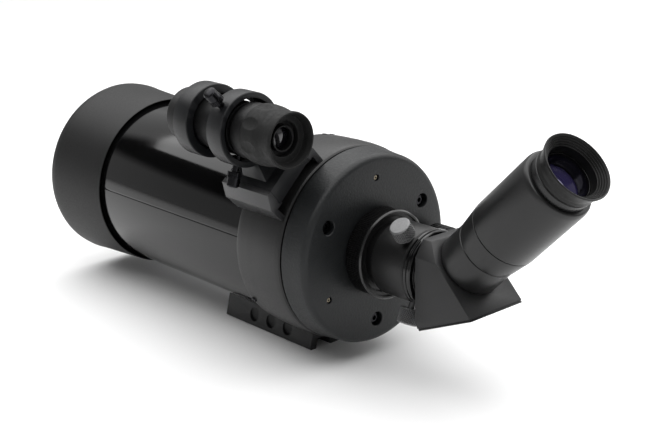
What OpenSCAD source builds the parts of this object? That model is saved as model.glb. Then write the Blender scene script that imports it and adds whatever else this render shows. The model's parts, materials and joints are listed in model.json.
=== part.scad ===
// Maksutov spotting telescope, 90 mm class, with 45 degree diagonal, eyepiece and 8x21 finder.
// Millimetres. +Y is where the telescope points, +Z is up, +X is right for someone looking through it.
// The origin is the mouth of the tripod socket, in the plane the foot rests on.

/* [Optical tube] */
// Outside diameter of the main tube
tube_d = 103.6; // [103:0.1:103.6]
// Wall of the main tube
tube_wall = 1.5; // [1.2:0.1:1.7]
// Length of the flared hood, lip to rear edge
hood_len = 54; // [46:1:58]
// Largest diameter of the hood
hood_d = 113.6; // [112:0.2:118]

/* [Rear] */
// Number of ribs round the visual back collar
collar_ribs = 72; // [48:4:90]
// Number of ribs round the focus knob
knob_ribs = 30; // [20:1:36]
// Diameter of the focus knob
knob_d = 19; // [16:0.5:21]
// Axial shift of the main mirror for one turn of the knob
focus_pitch = 0.8; // [0.5:0.1:1]

/* [Eyepiece] */
// Diameter of the eyepiece barrel above its skirt
eyepiece_d = 38.8; // [38:0.2:41]
// Number of knurls on a thumbscrew head
screw_knurls = 32; // [20:1:36]

/* [Foot] */
// Length of the dovetail foot
foot_len = 77; // [70:1:80]
// Width of the foot where it rests
foot_w = 45; // [43:0.5:46]

/* [Hidden] */
$fn = 96;

eps = 0.01;
fit = 0.05;          // radial play of turned parts that fit in one another

// Where the optical axis and the rear face lie from the tripod socket
axis_z = 63.3;
rear_y = -70;

// Optical tube, distances along Y from the rear face
tube_r = tube_d / 2;
tube_in = tube_r - tube_wall;
tube_y0 = 31;
tube_y1 = 212;
hood_r = hood_d / 2;
hood_y1 = 248;
hood_y0 = hood_y1 - hood_len;
front_cell_y1 = 229.8;
lens_r = 47;
cell_y0 = 18;
cell_y1 = 55;
cell_end_r = 55.4;
cell_barrel = [[54.7, 18], [55.5, 18.8], [55.9, 21], [56.25, 26], [56.25, 35], [55.95, 44], [cell_end_r, 52.5],
    [cell_end_r - 0.35, 54.3], [cell_end_r - 1.1, 55]];   // outer face, [radius, y]
bulkhead_y1 = 22.5;
cover_y1 = 17;
cover_r = 55.1;
cover_face_r = 50.2;
shoulder_r = 3.6;
screw_circle = 41;
cover_screw_r = 2.8;
recess_r = 4.1;
cover_screw_angles = [30, 150, 270];
collimation_angles = [90, 210, 330];
tube_screw_angles = [93.7, 213.7, 333.7];
plug_angles = [81, 75];

// Focusing
focus_x = 40.5;
focus_z = -2.3;
mirror_travel = 4 * focus_pitch;   // each way
mirror_y0 = 44;
mirror_y1 = 58;
mirror_bore = 15.9;
baffle_r = 13;
rod_r = 2.5;

// Visual back
port_r = 21.5;
barrel_r = 15.875;   // half of the 31.75 mm push fit
back_r = 20.8;
back_y0 = -39.6;
collar_y0 = -12.8;
collar_y1 = -0.5;
clamp_y = -35.8;
clamp_screw_r = 1.9;
clamp_head_r = 5.8;
upper_screw_angle = -35.3;   // from straight up, positive towards +X
lower_screw_angle = -156.7;

// Diagonal: outline of the housing as [direction of the outward normal, distance] in the YZ plane
bend_y = -59.6;
housing_half = 20;
housing_walls = [[-22.8, -36.1], [0, -48.5], [90, 21.1], [135, 53.4], [246.69, 45.6]];
cover_plate = 1.3;
holder_r = 17.5;
holder_y1 = 30.2;
holder_screw_y = 23;

// Eyepiece, distances along its own axis from the bend
eyepiece_r = eyepiece_d / 2;
skirt_y0 = 30.5;
body_y0 = 44.8;
body_y1 = 90;
cup_y0 = 94.2;
cup_y1 = 104.2;

// Finder
finder_x = -57.8;
finder_z = 71.6;
ring_r = 20.3;
ring_bore = 15.5;
ring_len = 12;
rear_ring_y = 35.5;
front_ring_y = 65;
finder_r = 14.5;
finder_screw_y = 41.5;
finder_screw_r = 1.9;
shoe_angle = -44;
shoe_y0 = 19.5;
shoe_y1 = 58;
shoe_top = 70.3;
slot_floor = 60;

// Foot
foot_y0 = 31.4;
rib_half = 7;
foot_wall = 4.4;
saddle_gap = 1.4;
side_slope = 13;
channel_top = -57.5;
recess_y = [53, 68, 83];

// ---------- helpers ----------

// Puts a part drawn from the optical axis and rear face into the shared frame.
module tube_frame() translate([0, rear_y, axis_z]) children();

// Solid of revolution about the Y axis from [radius, y] points.
module turned(points) rotate([-90, 0, 0]) rotate_extrude() polygon(points);

// Plain cylinder along Y.
module rod_y(r, y0, y1) translate([0, y0, 0]) rotate([-90, 0, 0]) cylinder(r = r, h = y1 - y0);

// Tube along Y.
module pipe_y(r_out, r_in, y0, y1)
    turned([[r_in, y0], [r_out, y0], [r_out, y1], [r_in, y1]]);

// Places children on a circle round the optical axis, at angles measured from +X.
module round_axis(angles, r) for (a = angles) translate([r * cos(a), 0, r * sin(a)]) children();

// Star outline of a ribbed wheel.
module rib_outline(r, count, depth) {
    duty = [0, 0.45, 0.58, 0.87];
    polygon([for (i = [0:count - 1], k = [0:3])
        let (a = (i + duty[k]) * 360 / count, q = k < 2 ? r : r - depth) [q * cos(a), q * sin(a)]]);
}

// Ribbed wheel along Y.
module ribbed_y(r, count, depth, y0, y1)
    translate([0, y1, 0]) rotate([90, 0, 0]) linear_extrude(y1 - y0) rib_outline(r, count, depth);

// Frame of the eyepiece: its own +Y runs along the inclined axis, away from the bend.
module eyepiece_frame() tube_frame() translate([0, bend_y, 0]) rotate([-45, 0, 0]) rotate([0, 0, 180])
    children();

// Frame of the finder: +Y along its axis.
module finder_frame() tube_frame() translate([finder_x, 0, finder_z]) children();

// Frame of the shoe: +Z points out of the tube through the middle of the shoe.
module shoe_frame() tube_frame() rotate([0, shoe_angle, 0]) children();

// Crossing point of two walls given as [direction, distance].
function meet(a, b) = let (d = sin(b[0] - a[0]))
    [(a[1] * sin(b[0]) - b[1] * sin(a[0])) / d, (b[1] * cos(a[0]) - a[1] * cos(b[0])) / d];

// Side outline of the diagonal, drawn in from every wall by its own inset.
function diagonal_outline(insets) = let (n = len(housing_walls))
    [for (i = [0:n - 1]) let (j = (i + 1) % n)
        meet([housing_walls[i][0], housing_walls[i][1] - insets[i]],
             [housing_walls[j][0], housing_walls[j][1] - insets[j]])];

// Extrusion of a YZ outline, centred on X.
module across_x(points, half)
    translate([-half, 0, 0]) rotate([90, 0, 90]) linear_extrude(2 * half) polygon(points);

// Extrusion of an XZ outline along Y.
module along_y(points, y0, y1) translate([0, y1, 0]) rotate([90, 0, 0]) linear_extrude(y1 - y0)
    polygon(points);

// Depth of a spherical surface at radius r from its pole.
function sag(r, curve) = curve - sqrt(curve * curve - r * r);

// Lens of revolution that bulges at both ends, y0 and y1 being its poles.
module bulged_lens(r, y0, y1, curve) {
    zones = 6;
    turned(concat([for (i = [0:zones]) [r * i / zones, y0 + sag(r * i / zones, curve)]],
        [for (i = [zones:-1:0]) [r * i / zones, y1 - sag(r * i / zones, curve)]]));
}

// Knurled thumbscrew along +Z, tip at z0.
module thumbscrew(z0, shank_r, head_z, head_r, head_len, count) {
    translate([0, 0, z0]) cylinder(r = shank_r, h = head_z - z0 + 0.5);
    translate([0, 0, head_z]) cylinder(r = head_r - 0.6, h = 1);
    translate([0, 0, head_z + 0.8]) linear_extrude(head_len - 1.6) rib_outline(head_r, count, 0.35);
    translate([0, 0, head_z + head_len - 0.9]) cylinder(r1 = head_r - 0.1, r2 = head_r - 0.9, h = 0.9);
}

// ---------- optical tube ----------

module main_tube() tube_frame() color("#101012") difference() {
    pipe_y(tube_r, tube_in, tube_y0, tube_y1);
    for (a = tube_screw_angles) rotate([0, 90 - a, 0]) translate([0, cell_y1 - 4, 40]) cylinder(r = 1.1, h = 14);
}

module front_hood() tube_frame() color("#17181a") turned([
    [tube_r + 1.3, hood_y0], [tube_r + 2, hood_y0], [hood_r - 0.5, 236], [hood_r, 241],
    [hood_r - 0.2, 244.5], [hood_r - 1.2, 247], [hood_r - 2.8, hood_y1], [hood_r - 4.6, 247.6],
    [hood_r - 5.4, 246], [49.2, 231], [49.2, front_cell_y1 + 0.4], [tube_r + fit, front_cell_y1 + 0.4],
    [tube_r + fit, 215], [tube_r + 1.5, 213]]);

module front_cell() tube_frame() color("#141416") turned([
    [44.4, 204], [tube_in - fit, 204], [tube_in - fit, tube_y1 + eps], [tube_r, tube_y1 + eps],
    [tube_r, front_cell_y1], [lens_r + 0.3, front_cell_y1], [lens_r + 0.3, 215.7], [44.4, 215.7]]);

// Meniscus, hollow towards the sky.
module corrector_lens() tube_frame() color("#cfe3e6") difference() {
    intersection() {
        rod_y(lens_r, 205, 232);
        translate([0, 338, 0]) sphere(r = 130);
    }
    translate([0, 342, 0]) sphere(r = 125);
}

module corrector_ring() tube_frame() color("#141416") difference() {
    pipe_y(lens_r + 0.25, 44.6, 226.5, 229.6);
    for (s = [-1, 1]) translate([s * 46, 229.6, 0]) cube([3.4, 2.4, 2], center = true);
}

module secondary_spot() tube_frame() color("#d8dadd") difference() {
    intersection() {
        rod_y(14, 204, 212);
        translate([0, 338, 0]) sphere(r = 130.3);
    }
    translate([0, 338, 0]) sphere(r = 130.02);
}

module secondary_baffle() tube_frame() color("#0c0c0d") turned([
    [16.4, 186], [17.2, 186], [15.8, 206.9], [17, 207.1], [17, 208.6], [14.6, 208.6], [14.6, 206.6]]);

// Room for the cell inside a part that hugs it, from the rear face to y1.
module cell_room(y1) turned(concat([[0, 0], [cell_barrel[0][0] + fit, 0]],
    [for (p = cell_barrel) if (p[0] >= cell_end_r) [p[0] + fit, p[1]]], [[cell_end_r + fit, y1], [0, y1]]));

module rear_cell() tube_frame() color("#1b1c1e") difference() {
    turned(concat([[15.05, cell_y0]], cell_barrel, [[tube_r + fit, cell_y1], [tube_r + fit, tube_y0 - 0.1],
        [tube_in, tube_y0 - 0.1], [tube_in, bulkhead_y1], [15.05, bulkhead_y1]]));
    round_axis(cover_screw_angles, screw_circle) rod_y(1.55, cell_y0 - 1, bulkhead_y1 + 1);
    round_axis(collimation_angles, screw_circle) rod_y(1.25, cell_y0 - 1, bulkhead_y1 + 1);
    translate([focus_x, 0, focus_z]) rod_y(5.05, cell_y0 - 1, bulkhead_y1 + 1);
    for (a = tube_screw_angles)
        rotate([0, 90 - a, 0]) translate([0, cell_y1 - 4, 50]) cylinder(r = 1.1, h = 10);
    for (a = plug_angles)
        rotate([0, 90 - a, 0]) translate([0, cell_y1 - 4, 52.6]) cylinder(r = 1.6, h = 10);
    rotate([0, shoe_angle, 0]) for (t = [-1, 1], y = [29, 48])
        translate([t * 11.4, y, 50]) cylinder(r = 1.35, h = 10);
    for (x = [-1, 1], y = [37, 49]) translate([x * 12, y, -60]) cylinder(r = 1.55, h = 9);
}

module rear_cover() tube_frame() color("#1c1d1f") {
    inner_r = 51.2;
    plate = 3.5;
    shoulder = [for (a = [0:15:90]) [cover_face_r + shoulder_r * sin(a), shoulder_r * (1 - cos(a))]];
    difference() {
        union() {
            turned(concat([[22.6, 0]], shoulder, [[cover_r - 0.8, 10], [cover_r, cover_y1 - 0.7],
                [cover_r - 0.5, cover_y1], [52.6, cover_y1], [52.6, cell_y0 - 0.02],
                [inner_r, cell_y0 - 0.02], [inner_r, plate], [22.6, plate]]));
            round_axis(cover_screw_angles, screw_circle) rod_y(recess_r + 1.7, plate - 0.5, cell_y0 - 0.02);
        }
        round_axis(cover_screw_angles, screw_circle) {
            rod_y(recess_r, -1, 5);
            rod_y(1.7, 4, cell_y0 + 1);
        }
        round_axis(collimation_angles, screw_circle) rod_y(1.8, -1, plate + 1);
        translate([focus_x, 0, focus_z]) rod_y(5.4, -1, plate + 1);
    }
}

module cover_screws() tube_frame() color("#26272a") round_axis(cover_screw_angles, screw_circle)
    difference() {
        union() {
            rod_y(cover_screw_r, 2.2, 4.95);
            rod_y(1.5, 4.9, bulkhead_y1 - 0.5);
        }
        translate([0, 4, 0]) rotate([90, 0, 0]) cylinder(r = 1.45, h = 4, $fn = 6);
    }

module collimation_screws() tube_frame() color("#b79a5c") round_axis(collimation_angles, screw_circle)
    difference() {
        rod_y(1.2, 0.9, bulkhead_y1 + 1.5);
        translate([0, 2.6, 0]) rotate([90, 0, 0]) cylinder(r = 0.6, h = 3, $fn = 6);
    }

module tube_screws() tube_frame() color("#2a2b2e") for (a = tube_screw_angles)
    rotate([0, 90 - a, 0]) translate([0, cell_y1 - 4, tube_in - 0.8]) difference() {
        union() {
            cylinder(r = 1.05, h = cell_end_r - tube_in + 1.2);
            translate([0, 0, cell_end_r - tube_in + 1.1]) cylinder(r1 = 1.9, r2 = 1.3, h = 0.9);
        }
        translate([0, 0, cell_end_r - tube_in + 1.3]) cylinder(r = 0.6, h = 2, $fn = 6);
    }

module plug_screws() tube_frame() color("#1f2022") for (a = plug_angles)
    rotate([0, 90 - a, 0]) translate([0, cell_y1 - 4, 52.7]) difference() {
        cylinder(r = 1.55, h = cell_end_r - 52.7 + 0.35);
        translate([0, 0, 1.2]) cylinder(r = 0.8, h = 3, $fn = 6);
    }

// ---------- mirror and focusing ----------

module baffle_tube() tube_frame() color("#0c0c0d") turned([
    [11, cell_y0 + 0.1], [15, cell_y0 + 0.1], [15, bulkhead_y1 + fit], [19, bulkhead_y1 + fit],
    [19, 25.6], [baffle_r, 25.6], [baffle_r, 74], [9.6, 140], [8.6, 140], [11, 74]]);

module primary_mirror() tube_frame() color("#dfe3e6") {
    curve = 450;
    zones = 8;
    depth = sag(lens_r, curve);
    bowl = [for (i = [0:zones]) let (r = lens_r + (mirror_bore - lens_r) * i / zones)
        [r, mirror_y1 - depth + sag(r, curve)]];
    turned(concat([[mirror_bore, mirror_y0], [46, mirror_y0], [lens_r, mirror_y0 + 1]], bowl));
}

module mirror_carrier() tube_frame() color("#5a5d61") difference() {
    union() {
        pipe_y(mirror_bore - 0.05, baffle_r + fit, 28.4 + mirror_travel, 68);
        pipe_y(27, baffle_r + fit, 40, mirror_y0 - 0.02);
        along_y([[14, -7], [focus_x, -7], [focus_x, 3], [14, 7]], 34, 40);
        translate([focus_x, 0, focus_z]) rod_y(6, 25.8 + mirror_travel, 39.4);
    }
    translate([focus_x, 0, focus_z]) rod_y(rod_r + fit, 20, 60);
    rod_y(baffle_r + fit, 20, 70);
}

module focus_rod() tube_frame() translate([focus_x, 0, focus_z]) color("#8d9094") {
    rod_y(rod_r, -14, 39.5);
    rod_y(4.2, 24.4, 25.4);
}

module focus_bushing() tube_frame() translate([focus_x, 0, focus_z]) color("#8f7b45") difference() {
    union() {
        rod_y(5, 1, bulkhead_y1 + 1.8);
        rod_y(8, 14.6, cell_y0 - 0.02);
    }
    rod_y(rod_r + fit, 0, 30);
}

module focus_knob() tube_frame() translate([focus_x, 0, focus_z]) color("#151517") {
    knob_r = knob_d / 2;
    difference() {
        union() {
            rod_y(4.4, -4.5, 0.6);
            ribbed_y(knob_r, knob_ribs, 0.7, -16.6, -5);
            turned([[0, -4], [knob_r - 1.2, -4], [knob_r - 0.6, -5.01], [0, -5.01]]);
            turned([[0, -16.59], [knob_r - 0.6, -16.59], [knob_r - 1.5, -18], [knob_r - 3, -18.5],
                [0, -18.5]]);
        }
        rod_y(rod_r + 0.02, -14.5, 2);
    }
}

// ---------- visual back ----------

module rear_port() tube_frame() color("#2b2c2f") difference() {
    union() {
        pipe_y(port_r, 16.5, -7, cell_y0 - 0.02);
        pipe_y(27, 16.5, 14.8, cell_y0 - 0.02);
    }
    round_axis([45, 135, 225, 315], 24.4) rod_y(1.3, 14, cell_y0 + 1);
}

module visual_back_ring() tube_frame() color("#131315") {
    lip_r = 25.1;
    difference() {
        union() {
            ribbed_y(24.4, collar_ribs, 0.5, -11.1, collar_y1 - 0.6);
            turned([[0, collar_y1], [23.4, collar_y1], [24, collar_y1 - 0.7], [0, collar_y1 - 0.7]]);
            turned([[0, -11], [lip_r, -11], [lip_r, -12], [lip_r - 0.8, collar_y0], [0, collar_y0]]);
        }
        rod_y(port_r + 0.08, -7.2, 1);
        rod_y(22.7, -9.7, -7.1);
        rod_y(21.2, -20, -9.6);
        rod_y(23.3, -20, -11.2);
    }
}

module visual_back_tube() tube_frame() color("#1a1b1d") difference() {
    turned([[14.8, -9.3], [14.8, -7.15], [22.35, -7.15], [22.35, -9.35], [17.9, -9.35], [17.9, -16.5],
        [back_r - 0.3, -16.5], [back_r, -16.8], [back_r, back_y0 + 0.8], [back_r - 0.8, back_y0], [16.4, back_y0],
        [barrel_r + fit, back_y0 + 0.6], [barrel_r + fit, clamp_y - 2.4], [17.5, clamp_y - 2.4],
        [17.5, clamp_y + 2.6], [barrel_r + fit, clamp_y + 2.6], [barrel_r + fit, -9.3]]);
    for (a = [upper_screw_angle, lower_screw_angle])
        rotate([0, a, 0]) translate([0, clamp_y, 12]) cylinder(r = clamp_screw_r + fit, h = 14);
}

module clamp_ring() tube_frame() color("#b59a5a") difference() {
    pipe_y(17.4, barrel_r + fit, clamp_y - 2.3, clamp_y + 2.5);
    translate([0, clamp_y, -17]) cube([1.6, 8, 8], center = true);
}

module back_screw(angle) tube_frame() rotate([0, angle, 0]) translate([0, clamp_y, 0]) color("#c3c6ca")
    thumbscrew(17.55, clamp_screw_r, 24, clamp_head_r, 8.6, screw_knurls);

module thumbscrew_upper() back_screw(upper_screw_angle);

module thumbscrew_lower() back_screw(lower_screw_angle);

// ---------- diagonal ----------

module nosepiece() tube_frame() color("#c9ccd0") turned([
    [14.3, -10.6], [barrel_r - 0.6, -10.6], [barrel_r, -11.4], [barrel_r, -40.02], [14.3, -40.02]]);

module diagonal_flange() tube_frame() color("#0e0e10") turned([
    [13.4, -40.05], [20.5, -40.05], [21.2, -40.8], [21.2, -42.2], [20.5, -42.5], [20.5, -43],
    [21.2, -43.3], [21.2, -44.7], [20.6, -45.2], [18.4, -45.2], [18.4, -48.48], [16.7, -48.48],
    [16.7, -49.9], [13.4, -49.9]]);

// Cross-section of the diagonal with its sloping upper edges.
module diagonal_section(inset) {
    w = housing_half - inset;
    along_y([[-w, -40], [w, -40], [w, 12.5], [14.3 - inset, 21.1 - inset], [inset - 14.3, 21.1 - inset],
        [-w, 12.5]], -95, -40);
}

module prism_housing() tube_frame() color("#191a1c") difference() {
    intersection() {
        across_x(diagonal_outline([0, 0, 0, 0, cover_plate]), housing_half);
        diagonal_section(0);
    }
    intersection() {
        across_x(diagonal_outline([2.4, 2.4, 2.4, 2.4, 0]), housing_half - 2.4);
        diagonal_section(2.4);
    }
    rod_y(16.75, -55, -40);
    translate([0, bend_y, 0]) rotate([-45, 0, 0]) rod_y(16.65, -20, -4);
}

module housing_cover() tube_frame() color("#141517") difference() {
    across_x(diagonal_outline([0.3, 0.3, 0, 0.3, 0]), housing_half - 0.3);
    across_x(diagonal_outline([-9, -9, -9, -9, cover_plate - 0.03]), housing_half + 1);
}

module prism() tube_frame() color("#cfdde0")
    across_x([[-51, -20], [-51, 17], [-53.4, 17], [-81, -11.5], [-54, -21.5]], 13);

module eyepiece_holder() eyepiece_frame() color("#191a1c") difference() {
    turned([[14.3, 8.4], [16.6, 8.4], [16.6, 12.6], [holder_r - 0.4, 12.6], [holder_r, 13],
        [holder_r, holder_y1 - 0.4], [holder_r - 0.4, holder_y1], [barrel_r + fit, holder_y1],
        [barrel_r + fit, 12.2], [14.3, 12.2]]);
    translate([0, holder_screw_y, 0]) rotate([0, -90, 0]) cylinder(r = 1.55, h = 20);
}

module holder_screw() eyepiece_frame() translate([0, holder_screw_y, 0]) rotate([0, -90, 0])
    color("#bfc2c6") thumbscrew(16, 1.5, 18.3, 3.6, 7, 24);

// ---------- eyepiece ----------

module eyepiece_barrel() eyepiece_frame() color("#ced1d5") turned([
    [13.8, 12.6], [barrel_r - 0.5, 12.6], [barrel_r, 13.2], [barrel_r, skirt_y0 + 3], [13.8, skirt_y0 + 3]]);

module eyepiece_skirt() eyepiece_frame() color("#161719") turned([
    [barrel_r + 0.02, skirt_y0 + 0.05], [17.4, skirt_y0 + 0.05], [17.8, skirt_y0 + 0.4],
    [eyepiece_r - 0.05, body_y0 - 0.3], [15.4, body_y0 - 0.3], [15.4, skirt_y0 + 3.05],
    [barrel_r + 0.02, skirt_y0 + 3.05]]);

module eyepiece_body() eyepiece_frame() color("#17181a") turned([
    [14.6, body_y0], [eyepiece_r - 0.3, body_y0], [eyepiece_r, body_y0 + 0.3], [eyepiece_r, body_y1 - 3.2],
    [eyepiece_r - 0.25, body_y1 - 1.6], [eyepiece_r - 0.8, body_y1 - 0.4], [eyepiece_r - 1.4, body_y1],
    [14.6, body_y1]]);

module eyepiece_collar() eyepiece_frame() color("#121214") turned([
    [14.2, body_y1 + 0.05], [16.4, body_y1 + 0.05], [16.6, body_y1 + 0.5], [16.6, cup_y0 - 0.3],
    [16.3, cup_y0 - 0.05], [14.2, cup_y0 - 0.05]]);

module eyecup() eyepiece_frame() color("#101011") {
    outside = [[16.4, cup_y0], [16.9, cup_y0 + 1.2], [16.6, cup_y0 + 3], [17, cup_y0 + 4.6],
        [18.3, cup_y1 - 2.2], [18.75, cup_y1 - 0.8], [18.5, cup_y1]];
    ribs = [for (i = [0:4]) let (r = 18 - 0.8 * i, y = cup_y1 - 0.2 - 0.9 * i) each
        [[r, y], [r - 0.35, y - 0.75], [r - 0.75, y - 0.45]]];
    turned(concat(outside, ribs, [[14, cup_y0 + 4.4], [13.6, cup_y0 + 2], [13.6, cup_y0]]));
}

module eye_lens() eyepiece_frame() color("#7d78b8") bulged_lens(11.4, 84, 90.5, 30);

module eye_lens_ring() eyepiece_frame() color("#131315") turned([
    [11.6, 82.5], [14.1, 82.5], [14.1, cup_y0 - 0.1], [13.5, cup_y0 - 0.1], [13.5, cup_y0 + 1.4],
    [12.7, cup_y0 + 1.6],
    [12.2, 92], [11.9, 90], [11.6, 89]]);

module field_lens() eyepiece_frame() color("#9fb4c8") bulged_lens(13.7, 40, 48, 38);

// ---------- finder ----------

module finder_shoe() shoe_frame() color("#232427") difference() {
    along_y([[-20.8, 62.5], [-20.2, 48], [20.2, 48], [20.8, 62.5], [16.3, shoe_top], [13.3, shoe_top],
        [14.8, slot_floor], [-14.8, slot_floor], [-13.3, shoe_top], [-16.3, shoe_top]], shoe_y0, shoe_y1);
    cell_room(100);
    intersection() {
        rod_y(57.2, 0, 100);
        translate([-17.4, 0, 40]) cube([34.8, 100, 30]);
    }
    translate([-8.5, 0, 40]) cube([17, 100, 17]);
    translate([-13, 0, 40]) cube([26, 25, 30]);
    translate([-17.4, 0, 40]) cube([34.8, 25, slot_floor - 40.6]);
    for (t = [-1, 1], y = [29, 48]) translate([t * 11.4, y, 50]) {
        cylinder(r = 1.5, h = 10);
        translate([0, 0, slot_floor - 2.05 - 50]) cylinder(r = 2.5, h = 10);
    }
    translate([10, 40, 65]) rotate([0, 90, 0]) cylinder(r = 1.85, h = 20);
}

module shoe_screws() shoe_frame() color("#3a3c40") for (t = [-1, 1], y = [29, 48])
    translate([t * 11.4, y, 0]) difference() {
        union() {
            translate([0, 0, 52.3]) cylinder(r = 1.3, h = 6);
            translate([0, 0, slot_floor - 2]) cylinder(r = 2.4, h = 1.8);
        }
        translate([0, 0, slot_floor - 1.2]) cylinder(r = 1.2, h = 3, $fn = 6);
    }

// Foot, web and two rings in one casting.
module finder_bracket() color("#2a2d31") {
    foot_half = [13.1, 14.6];
    side = finder_x * cos(shoe_angle) - finder_z * sin(shoe_angle);
    spine_top = shoe_top + 6;
    difference() {
        union() {
            shoe_frame() along_y([[-foot_half[1], slot_floor + 0.15], [foot_half[1], slot_floor + 0.15],
                [foot_half[0], shoe_top], [-foot_half[0], shoe_top]], shoe_y0, shoe_y1 - 0.4);
            shoe_frame() intersection() {
                across_x([[26.5, shoe_top - 0.5], [46.6, shoe_top - 0.5], [46.6, 80], [rear_ring_y + 0.6, 80],
                    [30.5, spine_top - 1]], 30);
                along_y([[-9.7, shoe_top - 1], [12.8, shoe_top - 1], [side + 9.5, 80], [side - 9.5, 80]],
                    0, 100);
            }
            shoe_frame() along_y([[2, shoe_top - 0.9], [12, shoe_top - 0.9], [side + 5, 80], [side - 4, 80]],
                44, front_ring_y + ring_len - 1.5);
            finder_frame() for (y = [rear_ring_y, front_ring_y]) turned([[0, y], [ring_r - 0.4, y],
                [ring_r, y + 0.4], [ring_r, y + ring_len - 0.4], [ring_r - 0.4, y + ring_len],
                [0, y + ring_len]]);
        }
        finder_frame() rod_y(ring_bore, 20, 100);
        finder_frame() rod_y(17.2, rear_ring_y - 9.5, rear_ring_y + ring_len - 3);
        finder_frame() rod_y(ring_r - 2.4, rear_ring_y + ring_len + 0.01, front_ring_y - 0.01);
        for (i = [0:2]) finder_frame() rotate([0, shoe_angle + 120 * i, 0])
            translate([0, finder_screw_y, 10]) cylinder(r = finder_screw_r + fit, h = 20);
    }
}

module finder_clamp_screw() shoe_frame() translate([0, 40, 65]) rotate([0, 90, 0]) color("#bfc2c6")
    thumbscrew(14.15, 1.8, 21.1, 4, 6, 24);

module finder_tube() finder_frame() color("#111113") turned([
    [12.5, 37.5], [finder_r, 37.5], [finder_r, 70], [finder_r - 0.8, 70], [finder_r - 0.8, 72.1],
    [finder_r, 72.1], [finder_r, 77.2], [12.5, 77.2]]);

module finder_o_ring() finder_frame() color("#0a0a0a") translate([0, 71.05, 0]) rotate([-90, 0, 0])
    rotate_extrude() translate([14.6, 0]) circle(r = 0.85);

module finder_objective_cell() finder_frame() color("#151618") turned([
    [11.2, 77.25], [15.2, 77.25], [15.2, 89], [14.6, 90], [13.2, 90], [12.4, 88], [11.7, 84.6],
    [11.7, 79.6], [11.2, 79.6]]);

module finder_objective_lens() finder_frame() color("#b8c8d8") bulged_lens(11.6, 79.7, 84, 32);

// Two erecting prisms with an air gap.
module finder_prisms() finder_frame() color("#cfdde0") {
    across_x([[47, -8], [47, 8], [57, 8], [63, 1], [56, -8]], 7.5);
    across_x([[63.8, 2], [58, 8.6], [67, 8.6], [67, -8], [57.6, -8.6]], 7.5);
}

module finder_reticle() finder_frame() color("#bcd0d6") difference() {
    rod_y(12.4, 40, 41.5);
    for (a = [0, 90]) rotate([0, a, 0]) translate([0, 40, 0]) cube([0.15, 0.2, 16], center = true);
}

module finder_neck() finder_frame() color("#1b1c1e") turned([
    [6.1, 9], [6.9, 8.9], [7.1, 9.3], [7.1, 12.2], [9.3, 12.2], [9.3, 11.9], [13.4, 11.9], [13.4, 26], [15.1, 26],
    [15.1, 33.6], [14.6, 34.2], [13.4, 34.2], [13.4, 37], [12.2, 37], [12.2, 16], [6.6, 16],
    [6.6, 11.6], [6.1, 11.4]]);

module finder_grip() finder_frame() color("#121213") difference() {
    turned([[13.45, 25.9], [15.3, 25.9], [16, 24.6], [16.3, 20.5], [16, 15.5], [15.1, 11.5], [14.8, 8.6],
        [15.1, 5.4], [15.2, 3.6], [14.9, 2.3], [14.1, 2.4], [13.3, 5], [12.9, 8.1],
        [9.7, 8.3], [9.5, 8.5], [9.5, 11.8], [13.45, 11.8]]);
    for (i = [0:7]) rotate([0, i * 45 + 10, 0]) translate([0, 19, 22.3]) sphere(r = 6.8);
}

module finder_eye_lens() finder_frame() color("#5a6a80") bulged_lens(6.5, 11.7, 14.1, 18);

module finder_screw(i) finder_frame() rotate([0, shoe_angle + 120 * i, 0])
    translate([0, finder_screw_y, 0]) color("#2d2f33") {
        translate([0, 0, finder_r + 0.15]) cylinder(r = finder_screw_r, h = 10);
        translate([0, 0, 23.6]) linear_extrude(3) rib_outline(3.9, 24, 0.35);
        translate([0, 0, 26.5]) cylinder(r1 = 3.6, r2 = 3.5, h = 4.6);
        translate([0, 0, 31]) cylinder(r1 = 3.5, r2 = 2.9, h = 0.8);
    }

module finder_screw_upper() finder_screw(0);

module finder_screw_lower() finder_screw(-1);

// Spring plunger that holds the finder against the two screws, flush in its ring.
module finder_plunger() finder_frame() rotate([0, shoe_angle + 120, 0]) translate([0, finder_screw_y, 0])
    color("#8f9194") difference() {
        translate([0, 0, finder_r + 0.15]) cylinder(r = finder_screw_r, h = ring_r - finder_r - 0.3);
        translate([0, 0, ring_r - 0.6]) cube([5, 0.7, 1.2], center = true);
    }

// ---------- foot ----------

module foot() tube_frame() color("#222326") {
    foot_y1 = foot_y0 + foot_len;
    half = foot_w / 2;
    top_half = half - (axis_z - 46) * tan(side_slope);
    inner = half - foot_wall;
    inner_top = inner - (axis_z + channel_top) * tan(side_slope);
    difference() {
        along_y([[-half + 0.6, -axis_z], [half - 0.6, -axis_z], [half, 0.6 - axis_z], [top_half, -46],
            [-top_half, -46], [-half, 0.6 - axis_z]], foot_y0, foot_y1);
        rod_y(tube_r + saddle_gap, 0, 150);
        cell_room(cell_y1 + 1);
        for (s = [-1, 1]) along_y([[s * rib_half, -axis_z - 1], [s * inner, -axis_z - 1],
            [s * inner, -axis_z], [s * inner_top, channel_top], [s * rib_half, channel_top]], 0, 150);
        for (s = [-1, 1], y = recess_y) translate([s * (half + 1), y, -56.4])
            rotate([0, -s * 90, 0]) translate([0, 0, -2]) cylinder(r = 4, h = 5.6);
        translate([0, -rear_y, -axis_z - 1]) cylinder(r = 5.02, h = 9.05);
        for (x = [-1, 1], y = [37, 49]) translate([x * 12, y, -62]) cylinder(r = 1.6, h = 12);
    }
}

module foot_screws() tube_frame() color("#3a3c40") for (x = [-1, 1], y = [37, 49])
    translate([x * 12, y, 0]) difference() {
        union() {
            translate([0, 0, channel_top - 2.5]) cylinder(r = 2.7, h = 2.45);
            translate([0, 0, channel_top - 0.2]) cylinder(r = 1.5, h = 6);
        }
        translate([0, 0, channel_top - 3]) cylinder(r = 1.3, h = 1.9, $fn = 6);
    }

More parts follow.
